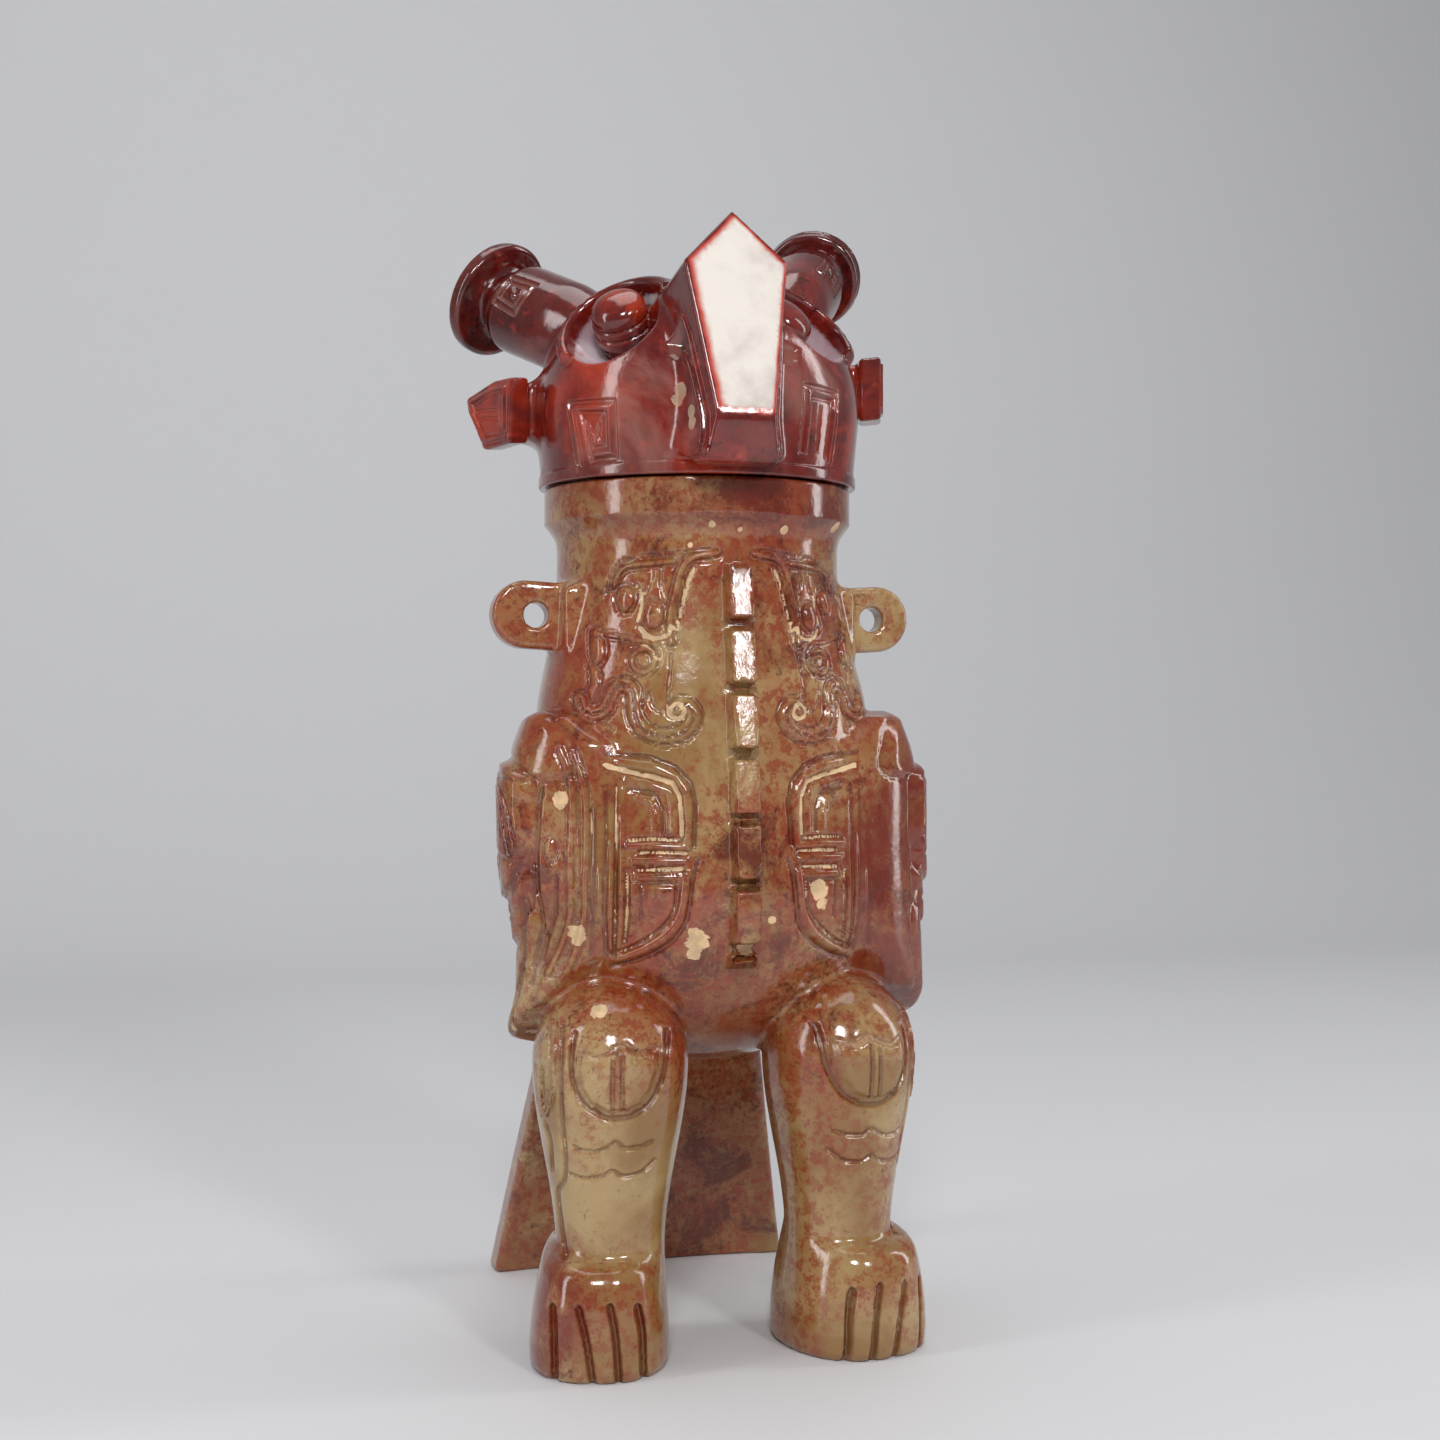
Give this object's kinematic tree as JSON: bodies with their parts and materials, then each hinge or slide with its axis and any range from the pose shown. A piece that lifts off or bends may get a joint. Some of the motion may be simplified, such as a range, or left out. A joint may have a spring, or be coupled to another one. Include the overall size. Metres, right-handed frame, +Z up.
{
  "type": "owl-shaped jade bottle",
  "caption": "Hollow carved stone bottle in the form of a standing owl, with a lift-off head as its lid, pierced side lugs, two feet and a fan tail.",
  "frame": {"origin": "middle of the bounding box's base, on the surface that the feet and the tail stand on", "axes": "+Z up, the owl faces -Y, and its right side is towards -X"},
  "size_m": [0.0889, 0.0956, 0.2194],
  "materials": {
    "mottled_jade": "high polish, olive and grey-green mottled with rust-red",
    "red_jade": "high polish, deep red with orange-red patches"
  },
  "bodies": {
    "vessel": {"vessel_body": "mottled_jade"},
    "lid": {"head_lid": "red_jade"}
  },
  "joints": [
    {"name": "lid_lift", "type": "slide", "parent": "vessel", "child": "lid", "axis": [0, 0, 1], "range_m": [0, 0.03]}
  ]
}
